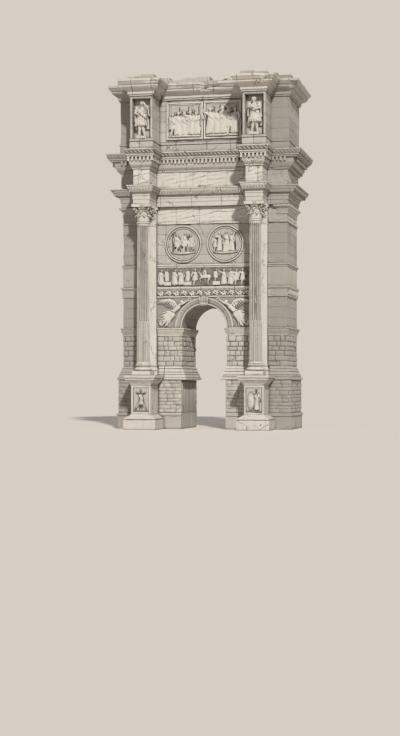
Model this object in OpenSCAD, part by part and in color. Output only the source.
// A free-standing Roman triumphal arch of one bay, with two columns on tall
// pedestals before each face, an entablature that breaks forward over them,
// and an attic with statues and relief panels. The front faces -Y.

/* [Plan] */
// Width of the arched opening
opening_w = 2700; // [2400:10:3000]
// Width of the masonry wall across the front
wall_w = 10000; // [9600:10:10400]
// Thickness of the wall from front to back
wall_t = 3800; // [3200:10:4400]
// Distance between the axes of the two columns
column_spacing = 6740; // [6500:10:6900]
// Distance of the column axis in front of the wall face
column_out = 1450; // [1350:10:1700]

/* [Course heights] */
// Height of the plinth of the wall
plinth_h = 800; // [600:10:900]
// Height of the dado
dado_h = 2130; // [1800:10:2300]
// Height of the sloping moulding on the dado
skirt_h = 830; // [600:10:950]
// Height of the plain pier under the impost
pier_h = 1790; // [1600:10:2200]
// Height of the impost moulding
impost_h = 500; // [450:10:650]
// Height of the masonry left between the archivolt and the course above
arch_clear = 20; // [10:5:100]
// Height of the narrow course with scrolls
scroll_h = 650; // [550:10:800]
// Height of the course with the figure frieze
figure_h = 1330; // [1150:10:1500]
// Height of the wall that holds the roundels
roundel_wall_h = 2400; // [2350:10:2600]
// Height of the slab course under the architrave
slab_h = 1040; // [900:10:1200]
// Height of the architrave
architrave_h = 1100; // [950:10:1250]
// Height of the frieze
frieze_h = 950; // [750:10:1050]
// Height of the main cornice
cornice_h = 1180; // [1100:10:1400]
// Height of the attic base
attic_plinth_h = 620; // [550:10:800]
// Height of the attic wall
attic_h = 2500; // [2400:10:2800]
// Height of the attic cornice
attic_cornice_h = 940; // [850:10:1100]
// Height of the rough course on the top
blocking_h = 430; // [300:10:500]

/* [Projections] */
// How far the dado stands out from the wall
dado_out = 230; // [150:5:300]
// How far the pilasters and the architrave stand out from the wall
order_out = 250; // [200:5:300]
// How far the attic wall stands out from the wall
attic_out = 130; // [80:5:200]
// Projection of the impost moulding
impost_out = 170; // [120:5:200]
// Projection of the string courses
string_out = 130; // [100:5:180]
// Projection of the architrave cap
architrave_out = 320; // [280:5:400]
// Projection of the main cornice
cornice_out = 430; // [400:5:560]
// How far the entablature stands out from the wall ends
end_out = 60; // [20:5:120]
// How many times further its mouldings project at the wall ends than at the front
end_reach = 2; // [1:0.1:2.2]
// Projection of the attic base moulding
attic_plinth_out = 60; // [40:5:100]
// Projection of the attic cornice
attic_cornice_out = 640; // [600:5:720]

/* [Arch] */
// Width of the archivolt across its face
archivolt_w = 440; // [350:5:500]
// Projection of the archivolt from the wall face
archivolt_out = 110; // [80:5:130]
// Width of the keystone at its top
keystone_w = 640; // [500:10:700]
// Projection of the keystone from the wall face
keystone_out = 240; // [180:5:300]

/* [Pedestals] */
// Height of a pedestal
ped_h = 3200; // [3000:10:3400]
// Height of the plinth block of a pedestal
ped_plinth_h = 600; // [500:10:700]
// Width of the pedestal die
die_w = 1190; // [1100:10:1250]
// Projection of the plinth block from the die
ped_plinth_out = 370; // [300:10:420]
// Height of the moulding at the foot of the die
ped_foot_h = 330; // [250:10:450]
// Height of the cap of the pedestal
ped_cap_h = 590; // [450:10:650]
// Projection of the cap of the pedestal
ped_cap_out = 350; // [280:10:400]
// Depth of the sunk panel in the die
ped_panel_depth = 60; // [30:5:90]
// Width of the border round the sunk panel
ped_border = 130; // [90:5:180]

/* [Columns] */
// Radius of the shaft at its foot
shaft_r = 396; // [360:2:420]
// Radius of the shaft at its neck
neck_r = 350; // [330:2:360]
// Height of the column base
base_h = 680; // [500:10:750]
// Height of the capital
capital_h = 1150; // [1000:10:1300]
// Projection of the base and the capital of a pilaster
pilaster_out = 90; // [60:5:120]
// Number of flutes round a shaft
flutes = 24; // [16:2:24]
// Radius of each flute
flute_r = 36; // [24:1:40]
// Half width of the abacus
abacus_r = 590; // [540:5:620]
// Width of the entablature block over a column
ressaut_w = 1000; // [900:10:1100]
// Width of the flat pilasters behind the columns
pilaster_w = 960; // [860:10:1040]

/* [Roundels] */
// Outer radius of the roundel frame
roundel_r = 1120; // [1000:5:1150]
// Width of the roundel frame
roundel_frame = 210; // [150:5:260]
// Distance between the centres of the two roundels
roundel_spacing = 2570; // [2400:10:2650]
// Projection of the roundel frame from the wall face
roundel_out = 110; // [80:5:140]

/* [Attic] */
// Width of the attic piers
attic_pier_w = 1360; // [1250:10:1450]
// Depth of the niche that holds each statue
niche_depth = 460; // [420:10:500]
// Width of each border beside a niche
niche_border = 130; // [100:5:160]
// Width of each relief panel with its frame
panel_w = 2250; // [2000:10:2350]
// Height of each relief panel with its frame
panel_h = 2230; // [2000:10:2250]
// Width of the frame round a relief panel
panel_frame = 170; // [120:5:220]
// Projection of the panel frame from the attic wall
panel_out = 120; // [80:5:150]
// Height of a statue with its base
statue_h = 2230; // [2000:10:2300]

/* [Hidden] */

$fn = 64;
over = 100;                 // how far a cutting form runs past what it cuts
curve_steps = 6;            // straight pieces in a curved moulding
arc_fn = 240;               // facets of the widest rounds

// Half sizes of the plan
open_r = opening_w / 2;
wall_x = wall_w / 2;
wall_y = wall_t / 2;
column_x = column_spacing / 2;
column_y = wall_y + column_out;
pier_mid = (open_r + wall_x) / 2;
pier_x = (wall_x - open_r) / 2;
ent_x = wall_x + end_out;
ent_y = wall_y + order_out;
res_x = ressaut_w / 2;
res_y = column_y + ressaut_w / 2;
attic_x = wall_x + attic_out;
attic_y = wall_y + attic_out;
attic_pier_x = attic_pier_w / 2;
attic_pier_y = column_y + res_x;
die_r = die_w / 2;

// Levels from the ground up
z_dado = plinth_h;
z_skirt = z_dado + dado_h;
z_pier = z_skirt + skirt_h;
z_impost = z_pier + pier_h;
z_spring = z_impost + impost_h;
z_scroll = z_spring + open_r + archivolt_w + arch_clear;
z_figure = z_scroll + scroll_h;
z_roundel = z_figure + figure_h;
z_slab = z_roundel + roundel_wall_h;
z_architrave = z_slab + slab_h;
z_frieze = z_architrave + architrave_h;
z_cornice = z_frieze + frieze_h;
z_attic_base = z_cornice + cornice_h;
z_attic = z_attic_base + attic_plinth_h;
z_attic_cornice = z_attic + attic_h;
z_blocking = z_attic_cornice + attic_cornice_h;
z_top = z_blocking + blocking_h;
z_shaft = ped_h + base_h;
z_capital = z_architrave - capital_h;
shaft_h = z_capital - z_shaft;

// Curved parts of a moulding, as [offset, height] points from (x0, z0) to (x1, z1)
steps = [for (i = [0:curve_steps]) i / curve_steps];
function ovolo(x0, z0, x1, z1) =
  [for (t = steps) [x0 + (x1 - x0) * sin(90 * t), z0 + (z1 - z0) * (1 - cos(90 * t))]];
function cavetto(x0, z0, x1, z1) =
  [for (t = steps) [x0 + (x1 - x0) * (1 - cos(90 * t)), z0 + (z1 - z0) * sin(90 * t)]];
function cyma(x0, z0, x1, z1) =
  [for (t = steps) [x0 + (x1 - x0) * (1 - cos(180 * t)) / 2, z0 + (z1 - z0) * t]];
function sima(x0, z0, x1, z1) =
  [for (t = steps) [x0 + (x1 - x0) * t, z0 + (z1 - z0) * (1 - cos(180 * t)) / 2]];
function roll(x, z0, z1, out) =
  [for (t = steps) [x + out * sin(180 * t), (z0 + z1) / 2 - (z1 - z0) / 2 * cos(180 * t)]];
function both_sides(half, profile) = concat(
  [for (p = profile) [half + p[0], p[1]]],
  [for (i = [len(profile) - 1:-1:0]) [-half - profile[i][0], profile[i][1]]]);

// A block whose four sides carry one moulding: its section across the width
// crossed with its section across the depth, which mitres the corners. Reach
// draws the moulding out further at the two ends than at front and back.
module moulded_block(half_w, half_d, profile, reach = 1) {
  out = max([for (p = profile) p[0]]) * reach + over;
  ends = [for (p = profile) [p[0] * reach, p[1]]];
  intersection() {
    rotate([90, 0, 0])
      linear_extrude(2 * (half_d + out), center = true) polygon(both_sides(half_w, ends));
    rotate([90, 0, 90])
      linear_extrude(2 * (half_w + out), center = true) polygon(both_sides(half_d, profile));
  }
}

// A block centred on the axes, from z0 to z1
module block(half_w, half_d, z0, z1) {
  translate([-half_w, -half_d, z0]) cube([2 * half_w, 2 * half_d, z1 - z0]);
}

// Copies for the two piers, or for the two rows of columns
module at_piers() {
  for (side = [-1, 1]) translate([side * pier_mid, 0, 0]) children();
}
module at_columns() {
  for (side = [-1, 1]) translate([side * column_x, 0, 0]) children();
}
module to_back(back) {
  rotate(back ? 180 : 0) children();
}

// A course of the wall that breaks forward over all four columns
module breaking_course(wall_hx, wall_hy, bar_hx, bar_hy, profile, reach = 1) {
  union() {
    moulded_block(wall_hx, wall_hy, profile, reach);
    at_columns() moulded_block(bar_hx, bar_hy, profile);
  }
}

// The space that the pilasters take up before the wall, with so much room at each side
module pilaster_room(z0, z1, side_out = 0) {
  for (back = [false, true]) to_back(back) at_columns()
    translate([-pilaster_w / 2 - side_out, -ent_y - over, z0])
      cube([pilaster_w + 2 * side_out, order_out + over, z1 - z0]);
}

// Foot of the wall beside the passage
ledge_out = 110;
ledge_h = 90;
dado_profile = concat([[dado_out + ledge_out / 2, 0], [dado_out + ledge_out / 2, plinth_h],
  [dado_out + ledge_out, plinth_h], [dado_out + ledge_out, plinth_h + ledge_h]],
  cavetto(dado_out + ledge_out - 20, plinth_h + ledge_h, dado_out, plinth_h + 2 * ledge_h),
  [[dado_out, z_skirt]]);
module dado_form(side) {
  out = [for (p = dado_profile) [p[0] - dado_out, p[1]]];
  translate([side * (pier_mid + dado_out / 2), 0, 0])
    moulded_block(pier_x + dado_out / 2, wall_y + dado_out, out);
}
module dado(side) {
  color("tan") intersection() {
    dado_form(side);
    translate([side > 0 ? open_r : -wall_x * 2, -wall_y * 2, 0])
      cube([wall_x * 2 - open_r, wall_y * 4, z_skirt]);
  }
}

// Sloping moulding in steps between the dado and the pier
skirt_steps = 4;
skirt_ledge_h = 150;
skirt_rise = (skirt_h - skirt_ledge_h) / skirt_steps;
skirt_profile = concat([[dado_out, z_skirt], [dado_out + 100, z_skirt + 30],
  [dado_out + 100, z_skirt + skirt_ledge_h]],
  [for (i = [0:skirt_steps - 1], k = [0, 1])
    [(dado_out + 60) * (1 - (i + k * 0.75) / skirt_steps),
     z_skirt + skirt_ledge_h + skirt_rise * (i + k * 0.55)]],
  [[0, z_pier]]);
module skirt_form(side) {
  translate([side * pier_mid, 0, 0]) moulded_block(pier_x, wall_y, skirt_profile);
}
module skirt(side) {
  color("tan") difference() {
    skirt_form(side);
    translate([0, -2 * over, 0]) pilaster_room(ped_h, z_pier + over, pilaster_out);
    translate([0, 2 * over, 0]) pilaster_room(ped_h, z_pier + over, pilaster_out);
  }
}

// Pedestal that carries one column, engaged in the foot of the wall
ped_profile = concat(
  [[ped_plinth_out, 0], [ped_plinth_out, ped_plinth_h]],
  roll(ped_plinth_out - 70, ped_plinth_h, ped_plinth_h + 120, 50),
  cyma(ped_plinth_out - 110, ped_plinth_h + 130, 30, ped_plinth_h + ped_foot_h - 30),
  [[30, ped_plinth_h + ped_foot_h], [0, ped_plinth_h + ped_foot_h], [0, ped_h - ped_cap_h],
   [30, ped_h - ped_cap_h], [30, ped_h - ped_cap_h + 60]],
  cyma(50, ped_h - ped_cap_h + 70, ped_cap_out - 120, ped_h - 290),
  [[ped_cap_out - 60, ped_h - 280], [ped_cap_out - 60, ped_h - 160],
   [ped_cap_out, ped_h - 150], [ped_cap_out, ped_h]]);
module pedestal(side, back) {
  panel_z0 = ped_plinth_h + ped_foot_h + ped_border;
  panel_z1 = ped_h - ped_cap_h - ped_border;
  color("burlywood") to_back(back) difference() {
    translate([side * column_x, -column_y, 0]) difference() {
      translate([0, column_out, 0]) moulded_block(die_r, column_out + die_r, ped_profile);
      translate([-die_r + ped_border, -die_r - over, panel_z0])
        cube([die_w - 2 * ped_border, over + ped_panel_depth, panel_z1 - panel_z0]);
    }
    translate([-wall_w, -wall_y, -over]) cube([2 * wall_w, 2 * wall_t, z_top]);
    dado_form(side);
    skirt_form(side);
  }
}

// Attic base of two rolls and a hollow on a square plinth, under each shaft
base_plinth_h = 0.4 * base_h;
torus_h = 0.26 * base_h;
scotia_h = 0.14 * base_h;
upper_torus_h = 0.14 * base_h;
base_profile = concat([[0, base_plinth_h - 1], [shaft_r + 80, base_plinth_h - 1]],
  roll(shaft_r + 60, base_plinth_h, base_plinth_h + torus_h, 75),
  [for (t = steps) [shaft_r + 50 - 45 * sin(180 * t), base_plinth_h + torus_h + 5 + scotia_h * t]],
  roll(shaft_r + 25, base_plinth_h + torus_h + scotia_h + 10,
    base_plinth_h + torus_h + scotia_h + upper_torus_h, 45),
  [[shaft_r + 20, base_h], [0, base_h]]);
module column_base() {
  translate([0, 0, ped_h]) union() {
    block(shaft_r + 150, shaft_r + 150, 0, base_plinth_h);
    rotate_extrude() polygon(base_profile);
  }
}
module column_bases(back) {
  color("wheat") to_back(back) at_columns() translate([0, -column_y, 0]) column_base();
}

// Fluted shaft: rods fill the lower third of the flutes, so they are shallow there
shaft_end = 160;
rod_share = 0.32;
rod_groove_r = 0.55 * flute_r;
module shaft(side, back) {
  lean = atan((shaft_r - neck_r) / shaft_h);
  color("wheat") to_back(back) translate([side * column_x, -column_y, z_shaft]) difference() {
    cylinder(h = shaft_h, r1 = shaft_r, r2 = neck_r);
    for (i = [0:flutes - 1]) rotate(i * 360 / flutes) translate([shaft_r, 0, 0]) rotate([0, -lean, 0]) {
      translate([0, 0, shaft_end]) cylinder(h = shaft_h - 2 * shaft_end, r = rod_groove_r, $fn = 24);
      translate([0, 0, shaft_h * rod_share])
        cylinder(h = shaft_h * (1 - rod_share) - shaft_end, r = flute_r, $fn = 24);
    }
  }
}

// Corinthian capital: a bell with two rows of leaves, corner volutes and a hollow-sided abacus
abacus_h = 170;
bell_h = capital_h - abacus_h;
volute_r = 105;
leaf_lobes = 3;
module leaf(z0, z1, r0, r1, w) {
  side_view = concat(
    [[r0 - 60, z0], [r0 + 20, z0]],
    [for (t = steps) [r0 + 20 + 30 * t + (r1 - r0 - 50) * pow(t, 3), z0 + (z1 - z0) * sin(90 * t)]],
    [[r1 + 40, z1 - 70], [r1 + 55, z1 - 20], [r1 + 10, z1 + 30], [r0 - 20, z1 + 10], [r0 - 60, z1 - 60]]);
  front_view = concat([[w * 0.3, z0]],
    [for (i = [0:leaf_lobes - 1], k = [0, 1])
      [w * (k == 0 ? 0.5 : 0.4), z0 + (z1 - z0) * (i + 0.4 + 0.45 * k) / leaf_lobes]],
    [[w * 0.42, z1 - 30], [w * 0.2, z1 + 40]]);
  intersection() {
    translate([0, w / 2, 0]) rotate([90, 0, 0]) linear_extrude(w) polygon(side_view);
    translate([r0 - over, 0, 0]) rotate([90, 0, 90])
      linear_extrude(r1 - r0 + 2 * over) polygon(both_sides(0, front_view));
  }
}
// Scroll under a corner of the abacus, with its stalk, for a bell of so great a radius
module volute(r) {
  stalk = concat([for (t = steps) [r - 60 + 110 * pow(t, 2), bell_h * (0.5 + 0.4 * t)]],
    [for (i = [curve_steps:-1:0]) [r - 110 + 90 * pow(steps[i], 2), bell_h * (0.5 + 0.4 * steps[i]) + 40]]);
  translate([0, 40, 0]) rotate([90, 0, 0]) linear_extrude(80) polygon(stalk);
  translate([r + 50, 60, bell_h - volute_r]) rotate([90, 0, 0]) cylinder(h = 120, r = volute_r, $fn = 32);
  translate([r + 50, 80, bell_h - volute_r]) rotate([90, 0, 0])
    cylinder(h = 160, r = volute_r * 0.4, $fn = 24);
}
// Flower in the middle of one side of the abacus
module abacus_flower(r) {
  translate([r - 60, 0, bell_h + abacus_h / 2]) rotate([0, 90, 0]) cylinder(h = 90, r = 90, $fn = 32);
  translate([r + 20, 0, bell_h + abacus_h / 2]) rotate([0, 90, 0]) cylinder(h = 40, r = 40, $fn = 24);
}
module capital(side, back) {
  bell_r = neck_r + 110;
  hollow_r = 1460;
  hollow = abacus_r - 110;
  color("cornsilk") to_back(back) translate([side * column_x, -column_y, z_capital]) union() {
    rotate_extrude() polygon(concat([[0, 0], [neck_r, 0]],
      roll(neck_r, 0, 90, 55), [[neck_r, 100], [neck_r - 10, bell_h * 0.6]],
      cavetto(neck_r - 10, bell_h * 0.6, bell_r, bell_h), [[0, bell_h]]));
    for (i = [0:7]) rotate(i * 45) leaf(90, bell_h * 0.42, neck_r, neck_r + 80, 240);
    for (i = [0:7]) rotate(i * 45 + 22.5) leaf(bell_h * 0.2, bell_h * 0.72, neck_r, neck_r + 130, 220);
    for (i = [0:3]) rotate(i * 90 + 45) volute(bell_r + 30);
    for (i = [0:3]) rotate(i * 90) abacus_flower(hollow);
    difference() {
      block(abacus_r, abacus_r, bell_h, capital_h);
      for (i = [0:3]) rotate(i * 90) translate([hollow + hollow_r, 0, bell_h - 1])
        cylinder(h = abacus_h + 2, r = hollow_r, $fn = arc_fn);
    }
  }
}

// Flat pilasters between the pedestal and the architrave, with a base and a capital
pilaster_base = concat([[pilaster_out, 0], [pilaster_out, base_plinth_h]],
  roll(pilaster_out - 50, base_plinth_h, base_plinth_h + torus_h, 40),
  roll(10, base_plinth_h + torus_h + scotia_h, base_plinth_h + torus_h + scotia_h + upper_torus_h, 40),
  [[0, base_h]]);
module pilaster_capital() {
  half_w = pilaster_w / 2;
  block(half_w + 30, order_out + 30, 0, 90);
  for (i = [-1:1]) translate([i * pilaster_w * 0.33, -order_out, 0]) rotate(-90)
    leaf(90, bell_h * 0.42, 0, 50, 240);
  for (i = [-1, 1]) translate([i * pilaster_w * 0.17, -order_out, 0]) rotate(-90)
    leaf(bell_h * 0.2, bell_h * 0.72, 0, 80, 220);
  for (i = [-1, 1]) translate([i * (half_w - volute_r * 0.6), -order_out - 60, bell_h - volute_r])
    rotate([-90, 0, 0]) cylinder(h = 120, r = volute_r, $fn = 32);
  block(half_w + pilaster_out, order_out + pilaster_out, bell_h, capital_h);
}
module pilasters(back) {
  color("wheat") to_back(back) at_columns() difference() {
    translate([0, -wall_y, 0]) union() {
      block(pilaster_w / 2, order_out, ped_h, z_architrave);
      translate([0, 0, ped_h]) moulded_block(pilaster_w / 2, order_out, pilaster_base);
      translate([0, 0, z_capital]) pilaster_capital();
    }
    translate([-pilaster_w, -wall_y, 0]) cube([2 * pilaster_w, wall_t, z_top]);
  }
}

// Piers beside the passage, and the imposts that the arch springs from
module pier(side) {
  color("tan") translate([side * pier_mid, 0, 0]) block(pier_x, wall_y, z_pier, z_impost);
}
impost_profile = concat([[0, z_impost], [20, z_impost], [20, z_impost + 90]],
  cyma(25, z_impost + 95, impost_out - 60, z_spring - 190),
  [[impost_out - 40, z_spring - 180], [impost_out - 40, z_spring - 100],
   [impost_out, z_spring - 90], [impost_out, z_spring]]);
module impost(side) {
  color("burlywood") difference() {
    translate([side * pier_mid, 0, 0]) moulded_block(pier_x, wall_y, impost_profile);
    pilaster_room(z_impost - over, z_spring + over);
  }
}

// The masonry over the passage, with its round vault
module spandrel_wall() {
  color("tan") difference() {
    block(wall_x, wall_y, z_spring, z_scroll);
    translate([0, wall_y + over, z_spring]) rotate([90, 0, 0])
      cylinder(h = wall_t + 2 * over, r = open_r, $fn = arc_fn);
  }
}

// Moulded ring round the mouth of the vault
module archivolt(back) {
  w = archivolt_w;
  p = archivolt_out;
  color("burlywood") to_back(back) difference() {
    translate([0, -wall_y, z_spring]) rotate([90, 0, 0]) rotate_extrude(angle = 180, $fn = arc_fn)
      polygon(concat([[open_r, 0], [open_r, 0.5 * p], [open_r + 0.3 * w, 0.5 * p],
        [open_r + 0.32 * w, 0.65 * p], [open_r + 0.6 * w, 0.65 * p]],
        [for (t = steps) [open_r + w * (0.62 + 0.23 * t), p * (0.68 + 0.32 * sin(90 * t))]],
        [[open_r + w, p], [open_r + w, 0]]));
    keystone_wedge();
  }
}

// Wedge-shaped keystone with a scrolled front, ribbed from top to bottom
keystone_z = z_spring + open_r - 40;
keystone_ribs = 4;
module keystone_wedge() {
  translate([0, -wall_y, 0]) rotate([90, 0, 0]) linear_extrude(keystone_out + over) polygon([
    [-keystone_w * 0.36, keystone_z], [keystone_w * 0.36, keystone_z],
    [keystone_w / 2, z_scroll], [-keystone_w / 2, z_scroll]]);
}
module keystone_front(out, half_w) {
  rise = z_scroll - keystone_z;
  translate([-half_w, -wall_y, 0]) rotate([90, 0, 90]) linear_extrude(2 * half_w) polygon(concat(
    [[0, keystone_z]],
    [for (t = steps) [-out * (0.55 + 0.25 * sin(180 * t)), keystone_z + rise * 0.4 * t]],
    [for (t = steps) [-out * (0.55 + 0.45 * sin(90 * t)), keystone_z + rise * (0.4 + 0.5 * t)]],
    [[-out, z_scroll], [0, z_scroll]]));
}
module keystones() {
  rib_step = keystone_w / keystone_ribs;
  color("burlywood") for (back = [false, true]) to_back(back) difference() {
    intersection() {
      keystone_wedge();
      union() {
        keystone_front(keystone_out * 0.84, keystone_w);
        for (i = [0:keystone_ribs - 1]) translate([(i - (keystone_ribs - 1) / 2) * rib_step, 0, 0])
          keystone_front(keystone_out, rib_step * 0.33);
      }
    }
    translate([0, over, z_spring]) rotate([90, 0, 0])
      cylinder(h = wall_t, r = open_r - 40, $fn = arc_fn);
  }
}

// String courses and wall zones, cut where the pilasters pass
module wall_course(profile, side_out = 0) {
  difference() {
    moulded_block(wall_x, wall_y, profile);
    pilaster_room(profile[0][1] - over, profile[len(profile) - 1][1] + over, side_out);
  }
}
scroll_profile = concat([[0, z_scroll], [60, z_scroll], [60, z_scroll + 90], [30, z_scroll + 100],
  [30, z_figure - 230]], cyma(35, z_figure - 220, string_out, z_figure - 90),
  [[string_out, z_figure]]);
module scroll_course() {
  color("burlywood") wall_course(scroll_profile);
}
figure_profile = [[0, z_figure], [10, z_figure + 60], [10, z_roundel - 210],
  [50, z_roundel - 200], [50, z_roundel - 110], [100, z_roundel - 90], [100, z_roundel]];
module figure_course() {
  color("cornsilk") wall_course(figure_profile);
}
module roundel_holes(r, back) {
  to_back(back) for (side = [-1, 1])
    translate([side * roundel_spacing / 2, -wall_y, (z_roundel + z_slab) / 2]) rotate([90, 0, 0])
      translate([0, 0, -60]) cylinder(h = 60 + over, r = r, $fn = arc_fn);
}
module roundel_wall() {
  color("tan") difference() {
    block(wall_x, wall_y, z_roundel, z_slab);
    roundel_holes(roundel_r - 30, false);
    roundel_holes(roundel_r - 30, true);
  }
}
module roundels() {
  seat = roundel_r - 30;
  inner = roundel_r - roundel_frame;
  color("cornsilk") for (back = [false, true]) to_back(back) for (side = [-1, 1])
    translate([side * roundel_spacing / 2, -wall_y, (z_roundel + z_slab) / 2]) rotate([90, 0, 0])
      rotate_extrude($fn = arc_fn) polygon(concat([[0, -60], [seat, -60], [seat, 0], [roundel_r, 0],
        [roundel_r, 40]],
        [for (t = steps) [roundel_r - roundel_frame * 0.45 * t, 50 + (roundel_out - 50) * sin(180 * t)]],
        [for (t = steps) [roundel_r - roundel_frame * (0.55 + 0.45 * t),
          30 + (roundel_out - 60) * sin(180 * t)]],
        [[inner, -10], [0, -10]]));
}
slab_profile = [[0, z_slab], [70, z_slab], [70, z_slab + 90], [30, z_slab + 110],
  [30, z_slab + 160], [0, z_slab + 160], [0, z_architrave]];
anta_profile = concat([[0, z_slab + 100], [0, z_architrave - 560], [50, z_architrave - 550],
  [50, z_architrave - 490]], cavetto(20, z_architrave - 470, order_out - 60, z_architrave - 130),
  [[order_out - 40, z_architrave - 120], [order_out - 40, z_architrave]]);
anta_w = 600;
module slab_course() {
  color("tan") union() {
    wall_course(slab_profile, pilaster_out);
    for (side = [-1, 1]) translate([side * (wall_x - anta_w / 2), 0, 0])
      moulded_block(anta_w / 2, wall_y, anta_profile);
  }
}

// Entablature
architrave_profile = concat([[0, z_architrave], [0, z_architrave + 260], [25, z_architrave + 270],
  [25, z_architrave + 480], [50, z_architrave + 490], [50, z_frieze - 500], [80, z_frieze - 490],
  [80, z_frieze - 430]], cyma(90, z_frieze - 420, architrave_out - 50, z_frieze - 170),
  [[architrave_out - 40, z_frieze - 160], [architrave_out - 40, z_frieze - 90],
   [architrave_out, z_frieze - 80], [architrave_out, z_frieze]]);
module architrave() {
  color("burlywood") breaking_course(ent_x, ent_y, res_x, res_y, architrave_profile, end_reach);
}
module frieze() {
  color("rosybrown") breaking_course(ent_x, ent_y, res_x, res_y, [[0, z_frieze], [0, z_cornice]]);
}
dentil_z = z_cornice + 460;
dentil_h = 230;
dentil_w = 140;
dentil_pitch = 235;
dentil_in = 190;
dentil_out = 290;
cornice_profile = concat([[0, z_cornice], [60, z_cornice], [60, z_cornice + 90]],
  cyma(70, z_cornice + 100, 170, z_cornice + 350),
  [[dentil_in, z_cornice + 360], [dentil_in, dentil_z + dentil_h], [dentil_out + 10, dentil_z + dentil_h],
   [dentil_out + 10, dentil_z + dentil_h + 80], [dentil_out + 60, dentil_z + dentil_h + 90],
   [dentil_out + 60, dentil_z + dentil_h + 170]],
  sima(dentil_out + 70, dentil_z + dentil_h + 180, cornice_out, z_attic_base - 70),
  [[cornice_out, z_attic_base]]);
// Teeth side by side over a stretch of the band, centred on the axes, and seen at both its ends
module teeth(length, depth) {
  count = floor((length - dentil_w) / dentil_pitch / 2);
  for (i = [-count:count]) translate([i * dentil_pitch, 0, 0])
    block(dentil_w / 2, depth, dentil_z, dentil_z + dentil_h + 10);
}
module main_cornice() {
  past = column_x - res_x;
  color("burlywood") union() {
    breaking_course(ent_x, ent_y, res_x, res_y, cornice_profile, end_reach);
    teeth(2 * (past - dentil_in), ent_y + dentil_out);
    for (side = [-1, 1]) translate([side * (column_x + res_x + ent_x) / 2, 0, 0])
      teeth(ent_x - column_x - res_x, ent_y + dentil_out);
    rotate(90) teeth(2 * ent_y, ent_x + dentil_out * end_reach);
    at_columns() {
      teeth(2 * (res_x + dentil_out), res_y + dentil_out);
      for (side = [-1, 1]) translate([0, side * (ent_y + res_y) / 2, 0]) rotate(90)
        teeth(res_y - ent_y, res_x + dentil_out);
    }
  }
}

// Attic
attic_base_profile = concat([[0, z_attic_base]], roll(0, z_attic_base + 30, z_attic - 160, 35),
  [[attic_plinth_out, z_attic - 150], [attic_plinth_out, z_attic - 30], [0, z_attic]]);
module attic_base() {
  color("tan") breaking_course(attic_x, attic_y, attic_pier_x, attic_pier_y, attic_base_profile);
}
module attic_wall() {
  niche_w = attic_pier_w - 2 * niche_border;
  color("tan") difference() {
    breaking_course(attic_x, attic_y, attic_pier_x, attic_pier_y, [[0, z_attic], [0, z_attic_cornice]]);
    for (back = [false, true]) to_back(back) at_columns()
      translate([-niche_w / 2, -attic_pier_y - over, z_attic - 1])
        cube([niche_w, over + niche_depth, attic_h - niche_border]);
  }
}
module relief_panels(back) {
  mid = (z_attic + z_attic_cornice) / 2;
  color("cornsilk") to_back(back) for (side = [-1, 1])
    translate([side * (panel_w / 2 + 20), -attic_y, mid]) rotate([90, 0, 0]) difference() {
      translate([-panel_w / 2, -panel_h / 2, 0]) cube([panel_w, panel_h, panel_out]);
      translate([-panel_w / 2 + panel_frame, -panel_h / 2 + panel_frame, panel_out - 80])
        cube([panel_w - 2 * panel_frame, panel_h - 2 * panel_frame, over]);
      translate([-panel_w / 2 + panel_frame * 0.6, -panel_h / 2 + panel_frame * 0.6, panel_out - 35])
        cube([panel_w - 1.2 * panel_frame, panel_h - 1.2 * panel_frame, over]);
    }
}

// Standing captive in a pleated tunic and trousers, one hand at the belt, on a low base
statue_base_h = 150;
statue_behind = 270;        // how far the figure reaches behind its own axis
statue_clear = 15;          // room left between its back and the niche
statue_base_w = 600;
figure_share = 0.0005;      // the figure is drawn 2000 high, and scaled to the statue
tunic_pleats = 12;
module limb(a, b, r1, r2) {
  d = b - a;
  translate(a) rotate([0, acos(d[2] / norm(d)), atan2(d[1], d[0])])
    cylinder(h = norm(d), r1 = r1, r2 = r2, $fn = 24);
}
module arm(shoulder, elbow, hand) {
  limb(shoulder, elbow, 72, 60);
  translate(elbow) sphere(r = 62, $fn = 24);
  limb(elbow, hand, 58, 44);
  translate(hand) sphere(r = 52, $fn = 24);
}
module captive() {
  for (leg = [-1, 1]) {
    limb([leg * 115, 0, 0], [leg * 95, 0, 760], 78, 105);
    translate([leg * 120, -45, 30]) sphere(r = 85, $fn = 24);
  }
  translate([0, 0, 600]) cylinder(h = 560, r1 = 225, r2 = 165, $fn = 32);
  for (i = [0:tunic_pleats - 1]) rotate(i * 360 / tunic_pleats)
    limb([200, 0, 590], [135, 0, 1150], 55, 30);
  translate([0, 0, 1150]) rotate_extrude($fn = 32) translate([165, 0]) circle(r = 28, $fn = 16);
  translate([0, 0, 1150]) cylinder(h = 440, r1 = 165, r2 = 200, $fn = 32);
  translate([0, 0, 1590]) cylinder(h = 100, r1 = 200, r2 = 75, $fn = 32);
  translate([0, 0, 1420]) rotate([0, 38, 0]) rotate_extrude($fn = 32)
    translate([175, 0]) circle(r = 48, $fn = 16);
  arm([-205, 0, 1560], [-265, -40, 1240], [-10, -185, 1230]);
  arm([205, 0, 1560], [255, -80, 1270], [60, -190, 1480]);
  translate([0, 0, 1650]) cylinder(h = 130, r = 66, $fn = 24);
  translate([0, 0, 1865]) sphere(r = 118, $fn = 32);
  translate([0, -25, 1795]) sphere(r = 86, $fn = 32);
  translate([0, 20, 1875]) sphere(r = 125, $fn = 32);
}
module statue(side, back) {
  axis_y = -attic_pier_y + niche_depth - statue_behind - statue_clear;
  color("gainsboro") to_back(back) translate([side * column_x, axis_y, z_attic]) union() {
    translate([-statue_base_w / 2, -statue_base_w * 0.32, 0])
      cube([statue_base_w, statue_base_w * 0.65, statue_base_h]);
    translate([0, 0, statue_base_h]) scale((statue_h - statue_base_h) * figure_share) captive();
  }
}

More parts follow.
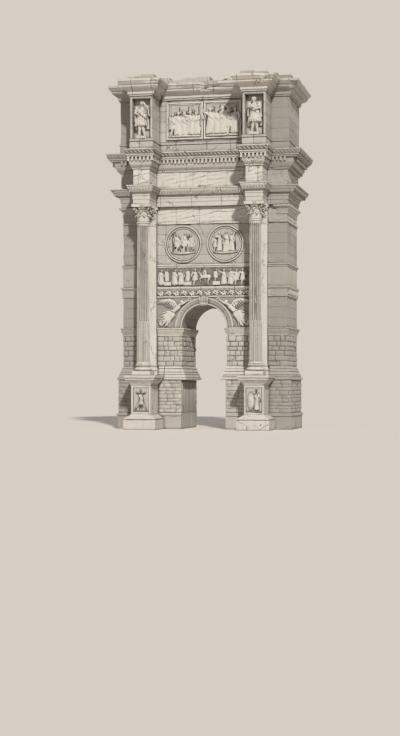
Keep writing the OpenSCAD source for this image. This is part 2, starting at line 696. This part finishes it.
attic_cornice_profile = concat([[0, z_attic_cornice], [70, z_attic_cornice],
  [70, z_attic_cornice + 90], [130, z_attic_cornice + 100], [130, z_attic_cornice + 250]],
  cyma(150, z_attic_cornice + 260, attic_cornice_out - 230, z_attic_cornice + 480),
  [[attic_cornice_out - 190, z_attic_cornice + 490], [attic_cornice_out - 190, z_attic_cornice + 590]],
  sima(attic_cornice_out - 180, z_attic_cornice + 600, attic_cornice_out, z_blocking - 150),
  [[attic_cornice_out, z_blocking]]);
module attic_cornice() {
  color("burlywood") breaking_course(attic_x, attic_y, attic_pier_x, attic_pier_y, attic_cornice_profile);
}

// Rough blocking course: two rows of stones over the wall, some of them half lost, and
// two low stones over each pier
blocking_over = 150;
stone_heights = [0.7, 1, 0.85, 0.95, 0.6, 0.8, 0.9, 0.35, 0.5, 0.9, 0.75, 1, 0.65];
pier_stone_heights = [0.48, 0.66, 0.56, 0.4];
module pier_stones(side) {
  half_w = attic_pier_x + blocking_over;
  translate([side * column_x - half_w, -attic_pier_y - blocking_over, z_blocking]) for (i = [0, 1])
    translate([i * half_w, 0, 0])
      cube([half_w, attic_pier_y - attic_y, blocking_h * pier_stone_heights[i + side + 1]]);
}
module blocking_course() {
  count = len(stone_heights);
  length = 2 * (attic_x + blocking_over);
  width = attic_y + blocking_over;
  step = length / count;
  color("tan") union() {
    translate([-length / 2, -width, z_blocking]) cube([length, 2 * width, blocking_h * 0.3]);
    for (i = [0:count - 1], row = [0, 1])
      translate([-length / 2 + i * step, row * width - width, z_blocking])
        cube([step, width, blocking_h * stone_heights[(i + row * 5) % count]]);
    for (back = [false, true], side = [-1, 1]) to_back(back) pier_stones(side);
  }
}

dado(-1);  // left_dado
dado(1);  // right_dado
skirt(-1);  // left_skirt
skirt(1);  // right_skirt
pedestal(-1, false);  // front_left_pedestal
pedestal(1, false);  // front_right_pedestal
pedestal(1, true);  // back_left_pedestal
pedestal(-1, true);  // back_right_pedestal
column_bases(false);  // front_column_bases
column_bases(true);  // back_column_bases
shaft(-1, false);  // front_left_shaft
shaft(1, false);  // front_right_shaft
shaft(1, true);  // back_left_shaft
shaft(-1, true);  // back_right_shaft
capital(-1, false);  // front_left_capital
capital(1, false);  // front_right_capital
capital(1, true);  // back_left_capital
capital(-1, true);  // back_right_capital
pilasters(false);  // front_pilasters
pilasters(true);  // back_pilasters
pier(-1);  // left_pier
pier(1);  // right_pier
impost(-1);  // left_impost
impost(1);  // right_impost
spandrel_wall();
archivolt(false);  // front_archivolt
archivolt(true);  // back_archivolt
keystones();
scroll_course();
figure_course();
roundel_wall();
roundels();
slab_course();
architrave();
frieze();
main_cornice();
attic_base();
attic_wall();
relief_panels(false);  // front_relief_panels
relief_panels(true);  // back_relief_panels
statue(-1, false);  // front_left_statue
statue(1, false);  // front_right_statue
statue(1, true);  // back_left_statue
statue(-1, true);  // back_right_statue
attic_cornice();
blocking_course();
